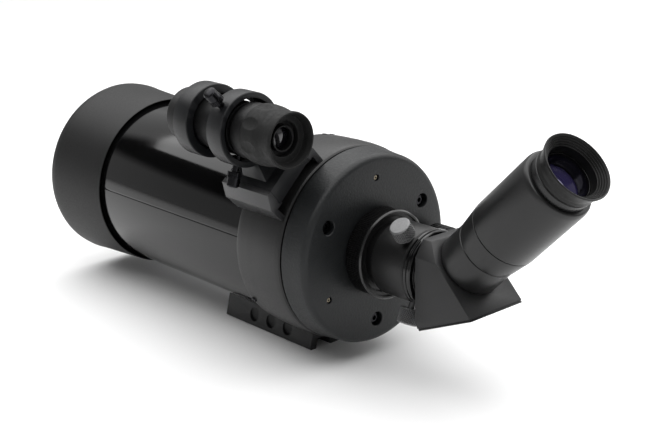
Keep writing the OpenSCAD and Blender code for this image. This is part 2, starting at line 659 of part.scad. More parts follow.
// Brass insert with the tripod thread.
module tripod_insert() tube_frame() color("#a98c4c") translate([0, -rear_y, -axis_z]) difference() {
    cylinder(r = 5, h = 8);
    translate([0, 0, -1]) cylinder(r = 3.175, h = 10);
}

// ---------- what is drawn ----------

main_tube();
front_hood();
front_cell();
corrector_lens();
corrector_ring();
secondary_spot();
secondary_baffle();
rear_cell();
rear_cover();
cover_screws();
collimation_screws();
tube_screws();
plug_screws();
baffle_tube();
primary_mirror();
mirror_carrier();
focus_rod();
focus_bushing();
focus_knob();
rear_port();
visual_back_ring();
visual_back_tube();
clamp_ring();
thumbscrew_upper();
thumbscrew_lower();
nosepiece();
diagonal_flange();
prism_housing();
housing_cover();
prism();
eyepiece_holder();
holder_screw();
eyepiece_barrel();
eyepiece_skirt();
eyepiece_body();
eyepiece_collar();
eyecup();
eye_lens();
eye_lens_ring();
field_lens();
finder_shoe();
shoe_screws();
finder_bracket();
finder_clamp_screw();
finder_tube();
finder_objective_cell();
finder_objective_lens();
finder_prisms();
finder_reticle();
finder_o_ring();
finder_neck();
finder_grip();
finder_eye_lens();
finder_screw_upper();
finder_screw_lower();
finder_plunger();
foot();
foot_screws();
tripod_insert();
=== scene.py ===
import json
import math

import bmesh
import bpy
from mathutils import Matrix, Vector


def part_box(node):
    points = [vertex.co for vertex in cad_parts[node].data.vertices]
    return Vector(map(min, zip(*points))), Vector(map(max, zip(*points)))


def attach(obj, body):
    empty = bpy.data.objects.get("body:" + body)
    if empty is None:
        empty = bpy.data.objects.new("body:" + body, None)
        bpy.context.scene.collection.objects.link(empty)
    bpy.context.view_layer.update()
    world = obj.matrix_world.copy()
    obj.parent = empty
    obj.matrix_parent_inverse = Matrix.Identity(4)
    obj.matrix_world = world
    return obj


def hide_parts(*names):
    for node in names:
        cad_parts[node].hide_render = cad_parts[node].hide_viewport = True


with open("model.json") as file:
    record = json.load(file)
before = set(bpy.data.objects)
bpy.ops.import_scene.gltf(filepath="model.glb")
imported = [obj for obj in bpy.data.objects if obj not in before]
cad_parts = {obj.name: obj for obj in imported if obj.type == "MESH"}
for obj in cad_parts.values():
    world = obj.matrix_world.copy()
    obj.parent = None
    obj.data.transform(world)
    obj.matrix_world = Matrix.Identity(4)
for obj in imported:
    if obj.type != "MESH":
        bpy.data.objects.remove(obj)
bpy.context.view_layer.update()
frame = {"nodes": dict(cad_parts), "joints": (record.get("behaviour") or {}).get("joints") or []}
NODES = frame["nodes"]
JOINTS = {j["name"]: j for j in frame["joints"]}
MM = 0.001
TAU = 2 * math.pi


# ---------------------------------------------------------------- places, read from the frame

def middle(node):
    low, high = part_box(node)
    return (low + high) / 2


TUBE = middle("main_tube")
REAR_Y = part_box("rear_cover")[0].y
FINDER = middle("finder_tube")
EYE_POINT = Vector(JOINTS["diagonal_screw_turn"]["pos_m"])
EYE_AXIS = Vector(JOINTS["eyepiece_slide"]["axis"]).normalized()


def placing(origin, axis, side=(1, 0, 0)):
    """Matrix whose local Y is axis and local X is as near side as it can be."""
    y = Vector(axis).normalized()
    x = Vector(side)
    x = (x - x.dot(y) * y).normalized()
    z = x.cross(y)
    m = Matrix((x, y, z)).transposed().to_4x4()
    m.translation = Vector(origin)
    return m


ON_TUBE = placing((TUBE.x, REAR_Y, TUBE.z), (0, 1, 0))
ON_FINDER = placing((FINDER.x, REAR_Y, FINDER.z), (0, 1, 0))
ON_EYE = placing(EYE_POINT - EYE_AXIS * 23 * MM, EYE_AXIS)
KNOB = middle("focus_knob")
ON_KNOB = placing((KNOB.x, REAR_Y, KNOB.z), (0, 1, 0))


# ---------------------------------------------------------------- mesh tools

def new_object(name, mesh, material, body, replaced=()):
    """Links a mesh as a piece that rides a body and may stand for CAD nodes."""
    obj = bpy.data.objects.new(name, mesh)
    bpy.context.scene.collection.objects.link(obj)
    mesh.materials.clear()
    mesh.materials.append(material)
    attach(obj, body)
    if replaced:
        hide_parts(*replaced)
    return obj


def shade(mesh, angle=32):
    """Smooth shading that stays sharp across real corners."""
    for p in mesh.polygons:
        p.use_smooth = True
    bm = bmesh.new()
    bm.from_mesh(mesh)
    for e in bm.edges:
        e.smooth = len(e.link_faces) == 2 and e.calc_face_angle(0) < math.radians(angle)
    bm.to_mesh(mesh)
    bm.free()


def soft(points, radius):
    """Rounds the corners of a closed outline of (r, y) points, in mm."""
    steps = 3
    out = []
    n = len(points)
    for i in range(n):
        a, b, c = (Vector(points[(i + k) % n]) for k in (-1, 0, 1))
        u, v = a - b, c - b
        if u.length < 1e-6 or v.length < 1e-6:
            continue
        turn = math.pi - u.angle(v)
        if turn < math.radians(20) or b.x < 1e-6:
            out.append(tuple(b))
            continue
        reach = min(radius * math.tan(turn / 2), 0.45 * u.length, 0.45 * v.length)
        start, end = b + u.normalized() * reach, b + v.normalized() * reach
        for k in range(steps + 1):
            t = k / steps
            q = start * (1 - t) ** 2 + b * 2 * t * (1 - t) + end * t ** 2
            out.append(tuple(q))
    return out


def dense(points, step):
    """Adds points along the long straight stretches of a closed outline."""
    out = []
    n = len(points)
    for i in range(n):
        a, b = Vector(points[i]), Vector(points[(i + 1) % n])
        parts = max(1, int((b - a).length / step))
        out += [tuple(a.lerp(b, k / parts)) for k in range(parts)]
    return out


def lathe(name, outline, place, material, body, replaced, around, shape, sharp):
    """Solid of revolution about local Y. shape(r, y, angle) may return a changed radius."""
    bm = bmesh.new()
    rings = []
    for r, y in outline:
        if r < 1e-6:
            rings.append([bm.verts.new(Vector((0, y * MM, 0)))])
            continue
        ring = []
        for k in range(around):
            a = TAU * k / around
            q = shape(r, y, a) if shape else r
            ring.append(bm.verts.new(Vector((q * math.cos(a), y, q * math.sin(a))) * MM))
        rings.append(ring)
    for i, ring in enumerate(rings):
        other = rings[(i + 1) % len(rings)]
        if len(ring) == 1 and len(other) == 1:
            continue
        for k in range(around):
            j = (k + 1) % around
            if len(ring) == 1:
                bm.faces.new((ring[0], other[j], other[k]))
            elif len(other) == 1:
                bm.faces.new((ring[k], ring[j], other[0]))
            else:
                bm.faces.new((ring[k], ring[j], other[j], other[k]))
    bmesh.ops.recalc_face_normals(bm, faces=bm.faces)
    bm.transform(place)
    mesh = bpy.data.meshes.new(name)
    bm.to_mesh(mesh)
    bm.free()
    shade(mesh, sharp)
    return new_object(name, mesh, material, body, replaced)


def refine(node, width, material, body, segments=2, angle=28):
    """A copy of a CAD node with its edges rounded, which stands for the node."""
    bm = bmesh.new()
    bm.from_mesh(NODES[node].data)
    bmesh.ops.remove_doubles(bm, verts=bm.verts, dist=2e-6)
    bmesh.ops.dissolve_limit(bm, angle_limit=math.radians(0.4), verts=bm.verts, edges=bm.edges,
                             use_dissolve_boundaries=False)
    edges = [e for e in bm.edges
             if len(e.link_faces) == 2 and e.calc_face_angle(0) > math.radians(angle)]
    if edges:
        bmesh.ops.bevel(bm, geom=edges, offset=width * MM, offset_type="OFFSET", segments=segments,
                        profile=0.5, affect="EDGES", clamp_overlap=True)
    bmesh.ops.triangulate(bm, faces=[f for f in bm.faces if len(f.verts) > 4])
    mesh = bpy.data.meshes.new(node + "_soft")
    bm.to_mesh(mesh)
    bm.free()
    shade(mesh)
    return new_object(node + "_soft", mesh, material, body, (node,))


# ---------------------------------------------------------------- materials

def sock(node, name, value):
    node.inputs[name].default_value = value


class Paint:
    """A small builder for one node material."""

    def __init__(self, name):
        self.mat = bpy.data.materials.new(name)
        self.mat.use_nodes = True
        self.tree = self.mat.node_tree
        self.bsdf = self.tree.nodes["Principled BSDF"]
        self.coords = self.tree.nodes.new("ShaderNodeTexCoord")
        self.normal = None

    def node(self, kind, **inputs):
        n = self.tree.nodes.new(kind)
        for key, value in inputs.items():
            n.inputs[key.replace("_", " ")].default_value = value
        return n

    def link(self, a, b):
        self.tree.links.new(a, b)

    def noise(self, scale, detail=3.0, rough=0.55, stretch=None):
        n = self.node("ShaderNodeTexNoise", Scale=scale, Detail=detail, Roughness=rough)
        if stretch:
            m = self.tree.nodes.new("ShaderNodeMapping")
            m.inputs["Scale"].default_value = stretch
            self.link(self.coords.outputs["Object"], m.inputs["Vector"])
            self.link(m.outputs["Vector"], n.inputs["Vector"])
        else:
            self.link(self.coords.outputs["Object"], n.inputs["Vector"])
        return n.outputs["Fac"]

    def cells(self, scale):
        n = self.node("ShaderNodeTexVoronoi", Scale=scale, Randomness=1.0)
        n.feature = "SMOOTH_F1"
        self.link(self.coords.outputs["Object"], n.inputs["Vector"])
        return n.outputs["Distance"]

    def ramp(self, fac, stops):
        n = self.tree.nodes.new("ShaderNodeValToRGB")
        ramp = n.color_ramp
        while len(ramp.elements) < len(stops):
            ramp.elements.new(0.5)
        for element, (place, value) in zip(ramp.elements, stops):
            element.position = place
            rgb = value if isinstance(value, (tuple, list)) else (value, value, value)
            element.color = (*rgb, 1)
        self.link(fac, n.inputs["Fac"])
        return n.outputs["Color"]

    def span(self, fac, low, high):
        n = self.tree.nodes.new("ShaderNodeMapRange")
        for key, value in (("From Min", 0.3), ("From Max", 0.7), ("To Min", low), ("To Max", high)):
            n.inputs[key].default_value = value
        self.link(fac, n.inputs["Value"])
        return n.outputs["Result"]

    def colour(self, a, b, fac):
        self.link(self.ramp(fac, [(0.3, a), (0.7, b)]), self.bsdf.inputs["Base Color"])

    def rough(self, fac, low, high):
        self.link(self.span(fac, low, high), self.bsdf.inputs["Roughness"])

    def bump(self, height, distance, strength=1.0):
        n = self.node("ShaderNodeBump", Strength=strength, Distance=distance * MM)
        self.link(height, n.inputs["Height"])
        if self.normal is not None:
            self.link(self.normal, n.inputs["Normal"])
        self.normal = n.outputs["Normal"]
        self.link(self.normal, self.bsdf.inputs["Normal"])

    def painted_edge_highlight(self, amount, colour):
        """Lighter colour on sharp edges: a painted edge highlight."""
        geo = self.tree.nodes.new("ShaderNodeNewGeometry")
        edge = self.ramp(geo.outputs["Pointiness"], [(0.52, 0.0), (0.60, amount)])
        mix = self.tree.nodes.new("ShaderNodeMix")
        mix.data_type = "RGBA"
        mix.inputs["B"].default_value = (*colour, 1)
        self.link(edge, mix.inputs["Factor"])
        old = self.bsdf.inputs["Base Color"].links[0].from_socket
        self.link(old, mix.inputs["A"])
        self.link(mix.outputs["Result"], self.bsdf.inputs["Base Color"])


def black_paint(name, tone, rough, grain, grain_depth, specular=0.5, edge_highlight=0.0):
    """Black finish: slight mottle, fine roughness change, and a pebbled or orange-peel skin."""
    p = Paint(name)
    big = p.noise(25, 4)
    p.colour([c * 0.82 for c in tone], [c * 1.18 for c in tone], big)
    fine = p.noise(900, 2)
    p.rough(fine, rough[0], rough[1])
    sock(p.bsdf, "Specular IOR Level", specular)
    p.bump(p.cells(grain), grain_depth)
    p.bump(p.noise(grain * 0.6, 2), grain_depth * 0.7)
    # painted edge highlight: sharp edges get a lighter colour
    if edge_highlight:
        p.painted_edge_highlight(edge_highlight, (0.16, 0.16, 0.165))
    return p.mat


def turned_metal(name, tone, rough, metallic=1.0, depth=0.004, streak=(6, 900, 6)):
    """Metal surface with fine turning marks across its axis."""
    p = Paint(name)
    marks = p.noise(1.0, 3, 0.6, stretch=streak)
    p.colour([c * 0.86 for c in tone], [min(1, c * 1.1) for c in tone], marks)
    p.rough(p.noise(260, 3), rough[0], rough[1])
    sock(p.bsdf, "Metallic", metallic)
    p.bump(marks, depth)
    return p.mat


def rubber(name, tone, rough=(0.55, 0.72)):
    """Matte moulded rubber with a fine skin."""
    p = Paint(name)
    p.colour([c * 0.8 for c in tone], [c * 1.25 for c in tone], p.noise(60, 5))
    p.rough(p.noise(500, 3), *rough)
    sock(p.bsdf, "Specular IOR Level", 0.28)
    p.bump(p.noise(1400, 2), 0.02)
    return p.mat


def coated_glass(name, tint):
    """Lens with a thin coating: dark, mirror-like, tinted reflections."""
    p = Paint(name)
    layer = p.tree.nodes.new("ShaderNodeLayerWeight")
    layer.inputs["Blend"].default_value = 0.35
    p.link(p.ramp(layer.outputs["Facing"], [(0.0, [c * 0.10 for c in tint]), (0.55, [c * 0.5 for c in tint]),
                                            (1.0, tint)]), p.bsdf.inputs["Base Color"])
    p.rough(p.noise(40, 2), 0.02, 0.04)
    sock(p.bsdf, "Metallic", 0.55)
    sock(p.bsdf, "Specular IOR Level", 0.7)
    sock(p.bsdf, "Coat Weight", 1.0)
    sock(p.bsdf, "Coat Roughness", 0.01)
    return p.mat


def clear_glass(name, tint):
    p = Paint(name)
    p.colour([c * 0.97 for c in tint], tint, p.noise(30, 2))
    p.rough(p.noise(60, 2), 0.01, 0.03)
    sock(p.bsdf, "Transmission Weight", 0.92)
    sock(p.bsdf, "IOR", 1.5)
    return p.mat


def mirror(name):
    p = Paint(name)
    p.colour((0.84, 0.86, 0.87), (0.90, 0.91, 0.92), p.noise(20, 2))
    p.rough(p.noise(80, 2), 0.02, 0.05)
    sock(p.bsdf, "Metallic", 1.0)
    return p.mat


GLOSS = black_paint("gloss_enamel", (0.002, 0.002, 0.0021), (0.075, 0.10), grain=260, grain_depth=0.0012,
                    specular=0.42)
HOOD = black_paint("hood_satin", (0.0052, 0.0052, 0.0053), (0.46, 0.56), grain=1500, grain_depth=0.012,
                   specular=0.33)
CELL = black_paint("cell_satin", (0.0085, 0.0085, 0.0086), (0.34, 0.44), grain=1300, grain_depth=0.012,
                   specular=0.38)
COVER = black_paint("cover_pebbled", (0.0088, 0.0097, 0.0103), (0.38, 0.52), grain=1000, grain_depth=0.07,
                    specular=0.32)
FLAT = black_paint("inside_flat", (0.006, 0.006, 0.006), (0.75, 0.9), grain=900, grain_depth=0.02,
                   specular=0.2)
ANODISED = black_paint("anodised_black", (0.007, 0.007, 0.0073), (0.26, 0.34), grain=1800, grain_depth=0.003,
                       specular=0.40)
EYE_BLACK = black_paint("eyepiece_satin", (0.0085, 0.0085, 0.0087), (0.30, 0.38), grain=1800,
                        grain_depth=0.006, specular=0.40)
RING_GLOSS = black_paint("ring_gloss", (0.003, 0.003, 0.0032), (0.10, 0.16), grain=500, grain_depth=0.001,
                         specular=0.4)
# HOUSING, BRACKET, SHOE and FOOT get a painted edge highlight, a lighter colour on their sharp edges
HOUSING = black_paint("housing_matte", (0.011, 0.011, 0.0114), (0.42, 0.52), grain=1500, grain_depth=0.012,
                      specular=0.38, edge_highlight=0.05)
MOULDED = black_paint("moulded_matte", (0.0028, 0.0028, 0.0030), (0.42, 0.54), grain=1300, grain_depth=0.012,
                      specular=0.26)
BRACKET = black_paint("bracket_satin", (0.0040, 0.0044, 0.0052), (0.34, 0.44), grain=1200,
                      grain_depth=0.010, specular=0.34, edge_highlight=0.05)
SHOE = black_paint("shoe_satin", (0.014, 0.014, 0.015), (0.32, 0.42), grain=1200, grain_depth=0.010,
                   edge_highlight=0.08)
FOOT = black_paint("foot_satin", (0.008, 0.0082, 0.0086), (0.38, 0.48), grain=1200, grain_depth=0.010,
                   specular=0.40, edge_highlight=0.06)
RUBBER = rubber("grip_rubber", (0.0040, 0.0041, 0.0040))
CUP = rubber("cup_rubber", (0.0030, 0.0030, 0.0029), (0.36, 0.50))
STEEL = turned_metal("polished_steel", (0.15, 0.151, 0.153), (0.30, 0.42), 0.6, depth=0.003,
                     streak=(900, 900, 900))
# darker steel for the knurl grooves: painted shade in the grooves
KNURL_SHADE = turned_metal("knurl_groove_shade", (0.030, 0.030, 0.031), (0.34, 0.46), 0.6, depth=0.003,
                      streak=(900, 900, 900))
CHROME = turned_metal("bright_chrome", (0.72, 0.73, 0.74), (0.06, 0.12), depth=0.001)
COLLAR = black_paint("collar_black", (0.0025, 0.0025, 0.0026), (0.34, 0.46), grain=1800, grain_depth=0.003,
                     specular=0.32)
VB_TUBE = black_paint("visual_back_black", (0.006, 0.006, 0.0062), (0.32, 0.40), grain=1800,
                      grain_depth=0.006, specular=0.36)
LIP = black_paint("polished_lip", (0.006, 0.006, 0.0062), (0.16, 0.24), grain=1800, grain_depth=0.001)
BLACK_STEEL = turned_metal("blackened_steel", (0.022, 0.022, 0.024), (0.18, 0.30), depth=0.003)
BRASS = turned_metal("plain_brass", (0.62, 0.46, 0.20), (0.22, 0.34), depth=0.003)
SCREW_BRASS = turned_metal("plated_brass", (0.22, 0.19, 0.14), (0.26, 0.4), depth=0.003)
BARE = turned_metal("bare_aluminium", (0.50, 0.51, 0.53), (0.28, 0.4), depth=0.004)
VIOLET = coated_glass("violet_coating", (0.16, 0.13, 0.42))
SMOKE = coated_glass("finder_coating", (0.022, 0.020, 0.030))
GREENISH = coated_glass("corrector_coating", (0.030, 0.060, 0.055))
GLASS = clear_glass("clear_glass", (0.86, 0.93, 0.92))
MIRROR = mirror("aluminised_mirror")

FINISH = {
    "main_tube": GLOSS, "front_hood": HOOD, "front_cell": FLAT, "corrector_lens": GREENISH,
    "corrector_ring": FLAT, "secondary_spot": MIRROR, "secondary_baffle": FLAT, "rear_cell": CELL,
    "rear_cover": COVER, "cover_screws": BLACK_STEEL, "collimation_screws": SCREW_BRASS,
    "tube_screws": BLACK_STEEL, "plug_screws": BLACK_STEEL, "baffle_tube": FLAT, "primary_mirror": MIRROR,
    "mirror_carrier": BARE, "focus_rod": BARE, "focus_bushing": BRASS, "focus_knob": MOULDED,
    "rear_port": ANODISED, "visual_back_ring": ANODISED, "visual_back_tube": ANODISED, "clamp_ring": BRASS,
    "thumbscrew_upper": STEEL, "thumbscrew_lower": STEEL, "nosepiece": CHROME, "diagonal_flange": RING_GLOSS,
    "prism_housing": HOUSING, "housing_cover": MOULDED, "prism": GLASS, "eyepiece_holder": EYE_BLACK,
    "holder_screw": STEEL, "eyepiece_barrel": CHROME, "eyepiece_skirt": EYE_BLACK, "eyepiece_body": EYE_BLACK,
    "eyepiece_collar": ANODISED, "eyecup": CUP, "eye_lens": VIOLET, "eye_lens_ring": RING_GLOSS,
    "field_lens": GLASS, "finder_shoe": SHOE, "shoe_screws": BLACK_STEEL, "finder_bracket": BRACKET,
    "finder_clamp_screw": STEEL, "finder_tube": MOULDED, "finder_objective_cell": HOOD,
    "finder_objective_lens": SMOKE, "finder_prisms": GLASS, "finder_reticle": GLASS, "finder_o_ring": RUBBER,
    "finder_neck": MOULDED, "finder_grip": RUBBER, "finder_eye_lens": SMOKE,
    "finder_screw_upper": BLACK_STEEL, "finder_screw_lower": BLACK_STEEL, "finder_plunger": STEEL,
    "foot": FOOT, "foot_screws": BLACK_STEEL,
    "tripod_insert": BRASS,
}
for node, material in FINISH.items():
    NODES[node].data.materials.clear()
    NODES[node].data.materials.append(material)


# ---------------------------------------------------------------- outlines taken from the CAD nodes

def section(node, place, degrees=0.0):
    """Closed outline (r, y) in mm of a turned node, cut by a half plane through the local Y axis."""
    a = math.radians(degrees)
    out, across = Vector((math.cos(a), 0, math.sin(a))), Vector((-math.sin(a), 0, math.cos(a)))
    bm = bmesh.new()
    bm.from_mesh(NODES[node].data)
    bmesh.ops.remove_doubles(bm, verts=bm.verts, dist=2e-6)
    bm.transform(place.inverted() @ NODES[node].matrix_world)
    bmesh.ops.bisect_plane(bm, geom=bm.verts[:] + bm.edges[:] + bm.faces[:], dist=1e-7, plane_co=(0, 0, 0),
                           plane_no=across, clear_inner=True, clear_outer=False)
    rim = [e for e in bm.edges if e.is_boundary and all(abs(v.co.dot(across)) < 1e-6 for v in e.verts)
           and sum(v.co.dot(out) for v in e.verts) > 1e-6]
    key = {}
    for e in rim:
        p, q = ((round(v.co.dot(out) / MM, 3), round(v.co.y / MM, 3)) for v in e.verts)
        if p != q:
            key.setdefault(p, set()).add(q)
            key.setdefault(q, set()).add(p)
    bm.free()
    loops, left = [], set(key)
    while left:
        ends = [p for p in left if len(key[p]) == 1]
        start = min(ends) if ends else min(left)
        loop, here = [start], start
        left.discard(start)
        while True:
            ahead = [p for p in key[here] if p in left]
            if not ahead:
                break
            here = ahead[0]
            left.discard(here)
            loop.append(here)
        loops.append(loop)
    loop = max(loops, key=lambda c: sum(math.dist(c[i], c[i - 1]) for i in range(len(c))))
    loop = [(max(0.0, r), y) for r, y in loop]
    kept = []
    for i, p in enumerate(loop):
        a, b = loop[i - 1], loop[(i + 1) % len(loop)]
        cross = (p[0] - a[0]) * (b[1] - p[1]) - (p[1] - a[1]) * (b[0] - p[0])
        if abs(cross) > 0.002 * max(0.05, math.dist(a, b)):
            kept.append(p)
    return kept


def turn(node, place, material, body, degrees=0.0, radius=0.25, around=192, shape=None, step=None,
         sharp=34):
    """The turned node again, with rounded corners and a finer round."""
    outline = soft(section(node, place, degrees), radius)
    if step:
        outline = dense(outline, step)
    return lathe(node + "_turned", outline, place, material, body, (node,), around, shape, sharp)


def islands(node):
    """Corner boxes of the separate solids in a node."""
    bm = bmesh.new()
    bm.from_mesh(NODES[node].data)
    bmesh.ops.remove_doubles(bm, verts=bm.verts, dist=2e-6)
    bm.transform(NODES[node].matrix_world)
    left, out = set(bm.verts), []
    while left:
        stack, group = [left.pop()], []
        while stack:
            v = stack.pop()
            group.append(v.co.copy())
            for e in v.link_edges:
                w = e.other_vert(v)
                if w in left:
                    left.discard(w)
                    stack.append(w)
        out.append((Vector([min(c[i] for c in group) for i in range(3)]),
                    Vector([max(c[i] for c in group) for i in range(3)])))
    bm.free()
    return sorted(out, key=lambda b: tuple(b[0]))


def carve(obj, cutters, angle=32):
    """Takes the cutters out of an object and removes them."""
    for cutter in cutters:
        m = obj.modifiers.new("hole", "BOOLEAN")
        m.operation, m.solver, m.object = "DIFFERENCE", "EXACT", cutter
    bpy.context.view_layer.update()
    done = bpy.data.meshes.new_from_object(obj.evaluated_get(bpy.context.evaluated_depsgraph_get()))
    obj.modifiers.clear()
    old, obj.data = obj.data, done
    bpy.data.meshes.remove(old)
    for cutter in cutters:
        mesh = cutter.data
        bpy.data.objects.remove(cutter)
        bpy.data.meshes.remove(mesh)
    shade(obj.data, angle)


def cutter(outline, place, around=48):
    """Unshown solid of revolution for carve to take away. Its outline runs from one end to the other."""
    bm = bmesh.new()
    rings = []
    turns = [TAU * k / around for k in range(around)]
    for r, y in outline:
        rings.append([bm.verts.new(Vector((r * math.cos(a), y, r * math.sin(a))) * MM) for a in turns])
    for a, b in zip(rings, rings[1:]):
        for k in range(around):
            j = (k + 1) % around
            bm.faces.new((a[k], a[j], b[j], b[k]))
    bm.faces.new(rings[0])
    bm.faces.new(rings[-1])
    bmesh.ops.recalc_face_normals(bm, faces=bm.faces)
    bm.transform(place)
    mesh = bpy.data.meshes.new("cutter")
    bm.to_mesh(mesh)
    bm.free()
    obj = bpy.data.objects.new("cutter", mesh)
    bpy.context.scene.collection.objects.link(obj)
    return obj


def saw(x):
    """Triangle wave, 0 at whole numbers and 1 half way between."""
    x -= math.floor(x)
    return 1 - abs(2 * x - 1)


def paint_faces(obj, material, test, place):
    """Gives the faces that pass test(r, y) in mm their own material."""
    obj.data.materials.append(material)
    inverse = place.inverted()
    for p in obj.data.polygons:
        c = inverse @ p.center
        if test(math.hypot(c.x, c.z) / MM, c.y / MM):
            p.material_index = len(obj.data.materials) - 1


# ---------------------------------------------------------------- tube, cell and cover

# holes in the cover, as (radius, depth) in mm with a small chamfer at the face
COVER_RECESS = [(4.45, -1), (4.38, -0.01), (4.1, 0.28), (4.1, 5)]
SMALL_RECESS = [(2.05, -1), (2.0, -0.01), (1.8, 0.2), (1.8, 5)]
KNOB_HOLE = [(5.8, -1), (5.7, -0.01), (5.4, 0.3), (5.4, 5)]


def optical_tube():
    """Tube with its seam, hood, cell, baffles, and the cover with its screw recesses."""
    seam = math.radians(173.6)
    radius = (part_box("main_tube")[1].x - TUBE.x) / MM

    def groove(r, y, a):
        return r - 0.16 if r > radius - 0.4 and abs(a - seam) < 0.0044 else r

    turn("main_tube", ON_TUBE, GLOSS, "tube", 20, 0.2, 720, groove)
    turn("front_hood", ON_TUBE, HOOD, "tube", 0, 0.6, 256)
    turn("rear_cell", ON_TUBE, CELL, "tube", 160, 0.35, 256)
    turn("front_cell", ON_TUBE, FLAT, "tube", 0, 0.2, 192)
    turn("secondary_baffle", ON_TUBE, FLAT, "tube", 0, 0.1, 96)
    turn("baffle_tube", ON_TUBE, FLAT, "tube", 0, 0.1, 96)
    cover = turn("rear_cover", ON_TUBE, COVER, "tube", 62, 0.25, 288)
    holes = []
    for low, high in islands("cover_screws"):
        c = (low + high) / 2
        at = placing((c.x, REAR_Y, c.z), (0, 1, 0))
        holes.append(cutter(COVER_RECESS, at))
    for low, high in islands("collimation_screws"):
        c = (low + high) / 2
        at = placing((c.x, REAR_Y, c.z), (0, 1, 0))
        holes.append(cutter(SMALL_RECESS, at, 32))
    holes.append(cutter(KNOB_HOLE, ON_KNOB))
    carve(cover, holes)


def small_screws():
    for node in ("cover_screws", "collimation_screws", "tube_screws", "plug_screws", "shoe_screws",
                 "foot_screws"):
        refine(node, 0.12, FINISH[node], "tube", segments=2, angle=35)


# ---------------------------------------------------------------- visual back

def knurled(r, y, a, top, low, high, ridges, depth, lean):
    """Crossed knurl between y low and high on a head of radius top."""
    if r < top - 0.05 or not low < y < high:
        return r
    fade = min(1.0, (y - low) / 0.3, (high - y) / 0.3)
    turns = ridges * a / TAU
    groove = max(1 - 3.0 * saw(turns + lean * y), 1 - 3.0 * saw(turns - lean * y), 0)
    return r - depth * fade * groove


def thumbscrew(node, body, material, ridges, depth, lean):
    """A screw turned from its CAD node's own lengths and radii, with a crossed knurl and a faced end."""
    joint = JOINTS[body + "_turn"]
    axis = Vector(joint["axis"]).normalized()
    place = placing(Vector(joint["pos_m"]), axis, (0, 1, 0) if abs(axis.y) < 0.9 else (1, 0, 0))
    bm = bmesh.new()
    bm.from_mesh(NODES[node].data)
    bm.transform(place.inverted() @ NODES[node].matrix_world)
    pts = [(math.hypot(v.co.x, v.co.z) / MM, v.co.y / MM) for v in bm.verts]
    bm.free()
    top = max(r for r, y in pts)
    tip, end = min(y for r, y in pts), max(y for r, y in pts)
    shank = max(r for r, y in pts if y < tip + 0.5)
    head = min(y for r, y in pts if r > top - 0.8)
    rounds = [(end, top - 0.75), (end - 0.12, top - 0.52), (end - 0.45, top - 0.12), (end - 0.75, top)]
    outline = [(0, tip), (shank - 0.3, tip), (shank, tip + 0.3), (shank, head), (top - 0.7, head),
               (top - 0.25, head + 0.25), (top, head + 0.6)]
    rows = int((end - head - 1.4) / 0.13)
    outline += [(top, head + 0.6 + (end - head - 1.35) * k / rows) for k in range(1, rows)]
    outline += [(r, y) for y, r in reversed(rounds)]
    face = top - 1.0
    while face > 0.5:
        outline += [(face, end - 0.03), (face - 0.12, end), (face - 0.3, end)]
        face -= 0.42
    outline.append((0, end))
    screw = lathe(node + "_turned", outline, place, material, body, (node,), ridges * 8,
                  lambda r, y, a: knurled(r, y, a, top, head + 0.5, end - 0.7, ridges, depth, lean), 24)
    # faces down in the knurl grooves get the darker steel, a painted shade
    paint_faces(screw, KNURL_SHADE, lambda r, y: head + 0.6 < y < end - 0.8 and r < top - depth * 0.35, place)


def ribs(count, depth, r_min, low, high, fill=0.62):
    """Shape for lathe: count straight ribs between y low and high, on radii above r_min."""
    def shape(r, y, a):
        if r < r_min or not low <= y <= high:
            return r
        t = (count * a / TAU) % 1.0
        return r - depth * (1 - min(1, max(0, (fill / 2 + 0.1 - abs(t - 0.5)) / 0.1)))
    return shape


def visual_back():
    low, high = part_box("visual_back_ring")
    front = (high.y - REAR_Y) / MM
    rear = (low.y - REAR_Y) / MM
    ring = turn("visual_back_ring", ON_TUBE, COLLAR, "collar", 0.5, 0.12, 1152,
                ribs(128, 0.42, 23.9, rear + 1.85, front - 0.6), sharp=30)
    paint_faces(ring, LIP, lambda r, y: r > 24.15 and y < rear + 0.45, ON_TUBE)
    turn("visual_back_tube", ON_TUBE, VB_TUBE, "tube", 60, 0.12, 192)
    turn("rear_port", ON_TUBE, ANODISED, "tube", 20, 0.2, 128)
    turn("nosepiece", ON_TUBE, CHROME, "diagonal", 0, 0.2, 128)
    turn("diagonal_flange", ON_TUBE, RING_GLOSS, "diagonal", 0, 0.28, 192)
    knob_top = (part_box("focus_knob")[1].x - KNOB.x) / MM
    turn("focus_knob", ON_KNOB, MOULDED, "focuser", 3, 0.3, 360,
         ribs(36, 0.6, knob_top - 0.75, -16.6, -5.2), step=3.0)
    for node, body in (("thumbscrew_upper", "back_screw_upper"), ("thumbscrew_lower", "back_screw_lower")):
        thumbscrew(node, body, STEEL, 26, 0.52, 0.72)
    thumbscrew("holder_screw", "diagonal_screw", STEEL, 26, 0.26, 1.1)
    thumbscrew("finder_clamp_screw", "finder_clamp", STEEL, 28, 0.26, 1.1)


# ---------------------------------------------------------------- diagonal and eyepiece

def diagonal():
    refine("prism_housing", 0.22, HOUSING, "diagonal", segments=2, angle=20)
    refine("housing_cover", 0.3, MOULDED, "diagonal", segments=2, angle=20)
    turn("eyepiece_holder", ON_EYE, EYE_BLACK, "diagonal", 90, 0.3, 192)


def eyepiece():
    turn("eyepiece_barrel", ON_EYE, CHROME, "eyepiece", 0, 0.2, 128)
    turn("eyepiece_skirt", ON_EYE, EYE_BLACK, "eyepiece", 0, 0.3, 192)
    turn("eyepiece_body", ON_EYE, EYE_BLACK, "eyepiece", 0, 0.25, 192)
    turn("eyepiece_collar", ON_EYE, ANODISED, "eyepiece", 0, 0.15, 192)
    turn("eyecup", ON_EYE, CUP, "eyepiece", 0, 0.16, 192)
    turn("eye_lens_ring", ON_EYE, RING_GLOSS, "eyepiece", 0, 0.15, 160)
    turn("eye_lens", ON_EYE, VIOLET, "eyepiece", 0, 0.0, 96, step=1.0)


# ---------------------------------------------------------------- finder, shoe and foot

